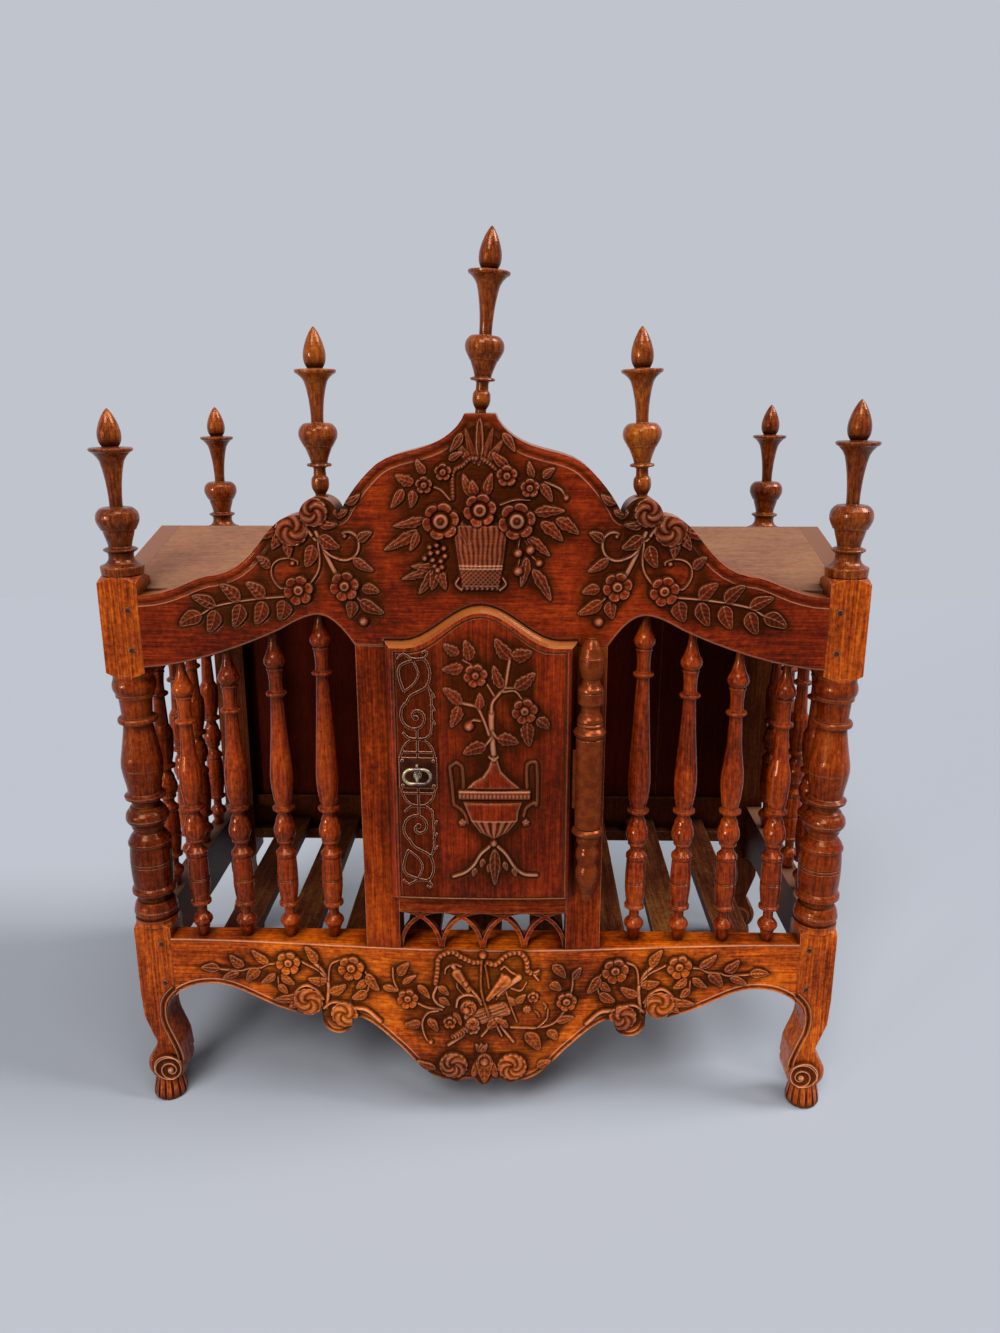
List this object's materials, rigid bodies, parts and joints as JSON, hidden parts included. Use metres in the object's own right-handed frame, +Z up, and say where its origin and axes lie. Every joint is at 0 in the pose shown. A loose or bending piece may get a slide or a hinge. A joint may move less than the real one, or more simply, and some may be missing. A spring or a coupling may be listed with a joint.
{
  "type": "panetiere bread cupboard",
  "caption": "Small carved walnut bread cupboard on short scrolled legs, with turned spindle sides, a bowed carved crest and apron, a hinged locking door and turned finials.",
  "frame": {"origin": "centre of the whole cupboard's outline in plan, on the floor under the feet", "axes": "+Z up, +X to the right as seen from the front, the front with its door faces -Y"},
  "size_m": [0.8582, 0.4898, 1.0316],
  "materials": {
    "walnut_turned": "waxed walnut, glossy",
    "walnut_carved": "carved waxed walnut, glossy with dark recesses",
    "walnut_rails": "waxed walnut, satin",
    "walnut_rear": "plain walnut, dull",
    "back_boards": "dark unfinished boards",
    "roof_boards": "weathered grey-brown boards",
    "slats": "unfinished slats",
    "pegs": "dark end grain",
    "hinge_metal": "brown patinated bronze, burnished",
    "plate_iron": "brown-black iron",
    "lock_iron": "grey iron",
    "key_metal": "worn steel"
  },
  "bodies": {
    "cupboard": {"post_front_left": "walnut_turned", "post_front_right": "walnut_turned", "post_rear_left": "walnut_rear", "post_rear_right": "walnut_rear", "crest_rail": "walnut_carved", "apron_rail": "walnut_carved", "stile_left": "walnut_rails", "stile_right": "walnut_rails", "sill_rail": "walnut_rails", "gallery": "walnut_rails", "side_top_rail_left": "walnut_rails", "side_top_rail_right": "walnut_rails", "side_bottom_rail_left": "walnut_rails", "side_bottom_rail_right": "walnut_rails", "rear_top_rail": "walnut_rear", "rear_bottom_rail": "walnut_rear", "back_panel": "back_boards", "floor_slats": "slats", "floor_ledgers": "slats", "roof_board_front": "roof_boards", "roof_board_rear": "roof_boards", "roof_cleats": "roof_boards", "ridge_beam": "slats", "spindle_front_1": "walnut_turned", "spindle_front_2": "walnut_turned", "spindle_front_3": "walnut_turned", "spindle_front_4": "walnut_turned", "spindle_front_5": "walnut_turned", "spindle_front_6": "walnut_turned", "spindle_front_7": "walnut_turned", "spindle_front_8": "walnut_turned", "side_spindles_left": "walnut_turned", "side_spindles_right": "walnut_turned", "finial_front_left": "walnut_turned", "finial_front_right": "walnut_turned", "finial_rear_left": "walnut_turned", "finial_rear_right": "walnut_turned", "finial_crest_left": "walnut_turned", "finial_crest_right": "walnut_turned", "finial_crest_middle": "walnut_turned", "joint_pegs": "pegs", "hinge_upper_knuckle": "hinge_metal", "hinge_lower_knuckle": "hinge_metal", "hinge_rod": "hinge_metal"},
    "door_body": {"door": "walnut_carved", "hinge_barrel": "hinge_metal", "lock_plate": "plate_iron", "plate_pins": "plate_iron", "lock_case": "lock_iron", "lock_cover": "lock_iron", "lock_screws": "lock_iron"},
    "key_body": {"key": "key_metal"},
    "bolt_body": {"lock_bolt": "lock_iron"}
  },
  "joints": [
    {"name": "door_hinge", "type": "hinge", "parent": "cupboard", "child": "door_body", "pos_m": [0.12, -0.22686, 0.45], "axis": [0, 0, 1], "range_deg": [0, 115]},
    {"name": "key_turn", "type": "hinge", "parent": "door_body", "child": "key_body", "pos_m": [-0.071, -0.22286, 0.458], "axis": [0, -1, 0], "range_deg": [0, 90]},
    {"name": "bolt_slide", "type": "slide", "parent": "door_body", "child": "bolt_body", "axis": [-1, 0, 0], "range_m": [0, 0.012]}
  ],
  "couplings": [
    {"joint": "bolt_slide", "follows": "key_turn", "m_per_rad": 0.0076}
  ]
}
